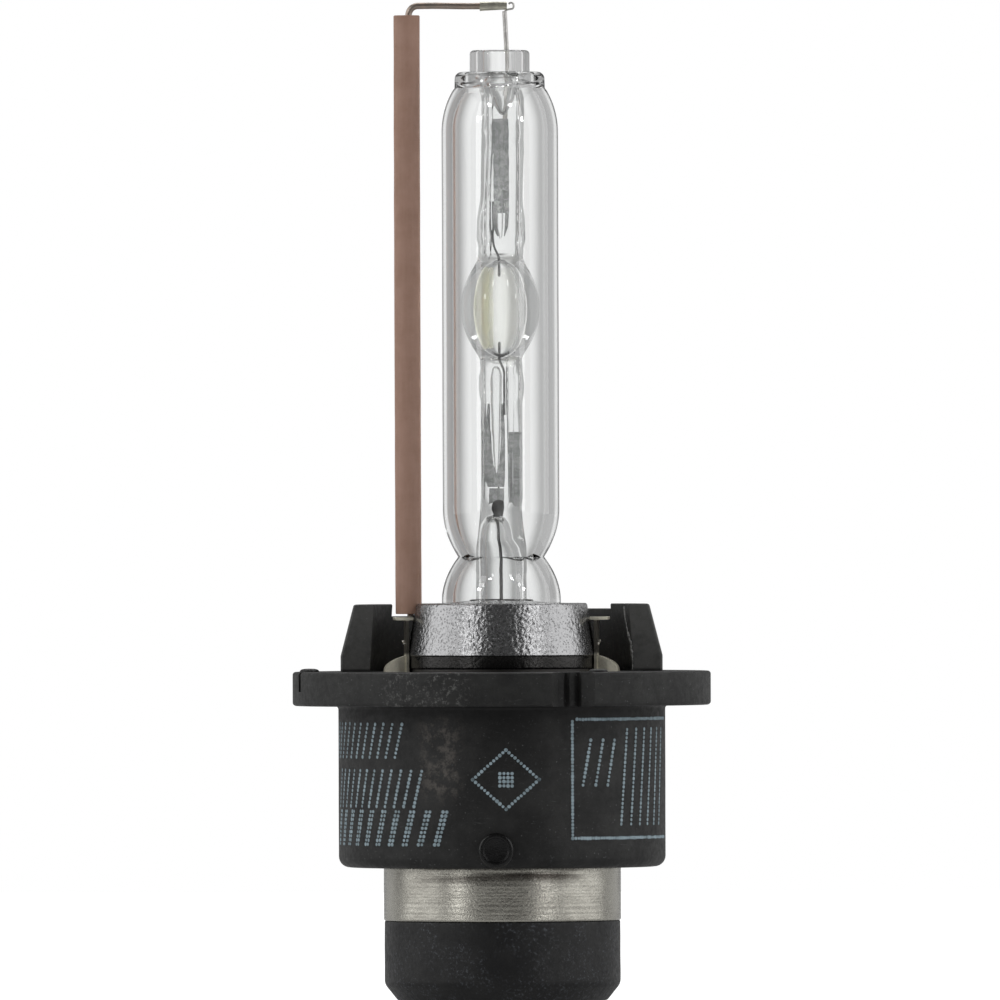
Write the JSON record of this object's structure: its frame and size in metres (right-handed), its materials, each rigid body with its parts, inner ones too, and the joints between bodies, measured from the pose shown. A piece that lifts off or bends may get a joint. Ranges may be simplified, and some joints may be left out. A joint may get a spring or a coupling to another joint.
{
  "type": "gas discharge headlight bulb",
  "caption": "Clear quartz discharge bulb with a side return wire in a ceramic tube, on a black flanged bayonet base with a metal contact sleeve and an insulating plug.",
  "frame": {"origin": "on the lamp axis, in the plane of the flange's front face", "axes": "+Z along the lamp axis towards the glass tip; -Y is the front, where the guard wall is open; the return wire is at -X"},
  "size_m": [0.032, 0.032, 0.0764],
  "materials": {
    "quartz": "clear polished",
    "quartz_outer": "clear polished",
    "tungsten": "drawn",
    "molybdenum": "rolled foil",
    "lead_wire": "drawn",
    "fill_salts": "dried film",
    "return_nickel": "drawn, warm tint",
    "brown_ceramic": "matt unglazed",
    "textured_black": "coarse spark-eroded texture with a sheen",
    "spring_steel": "satin",
    "weld_metal": "bright nugget",
    "moulded_black": "fine moulded grain with scuffs",
    "satin_nickel": "satin, turned",
    "plug_black": "moulded, speckled",
    "contact_metal": "satin",
    "inner_insulator": "matt"
  },
  "bodies": {
    "root": {"arc_tube": "quartz", "outer_bulb": "quartz_outer", "electrode_upper": "tungsten", "electrode_lower": "tungsten", "foil_upper": "molybdenum", "foil_lower": "molybdenum", "lead_upper": "lead_wire", "lead_lower": "lead_wire", "halide_salts": "fill_salts", "return_wire": "return_nickel", "return_bridge": "return_nickel", "weld_fold": "return_nickel", "return_insulator": "brown_ceramic", "glare_collar": "textured_black", "clamp_ring": "spring_steel", "carrier_ring": "spring_steel", "weld_spots": "weld_metal", "base_housing": "moulded_black", "return_strap": "spring_steel", "contact_sleeve": "satin_nickel", "plug_core": "plug_black", "centre_contact": "contact_metal", "hv_insulator": "inner_insulator"}
  },
  "joints": []
}
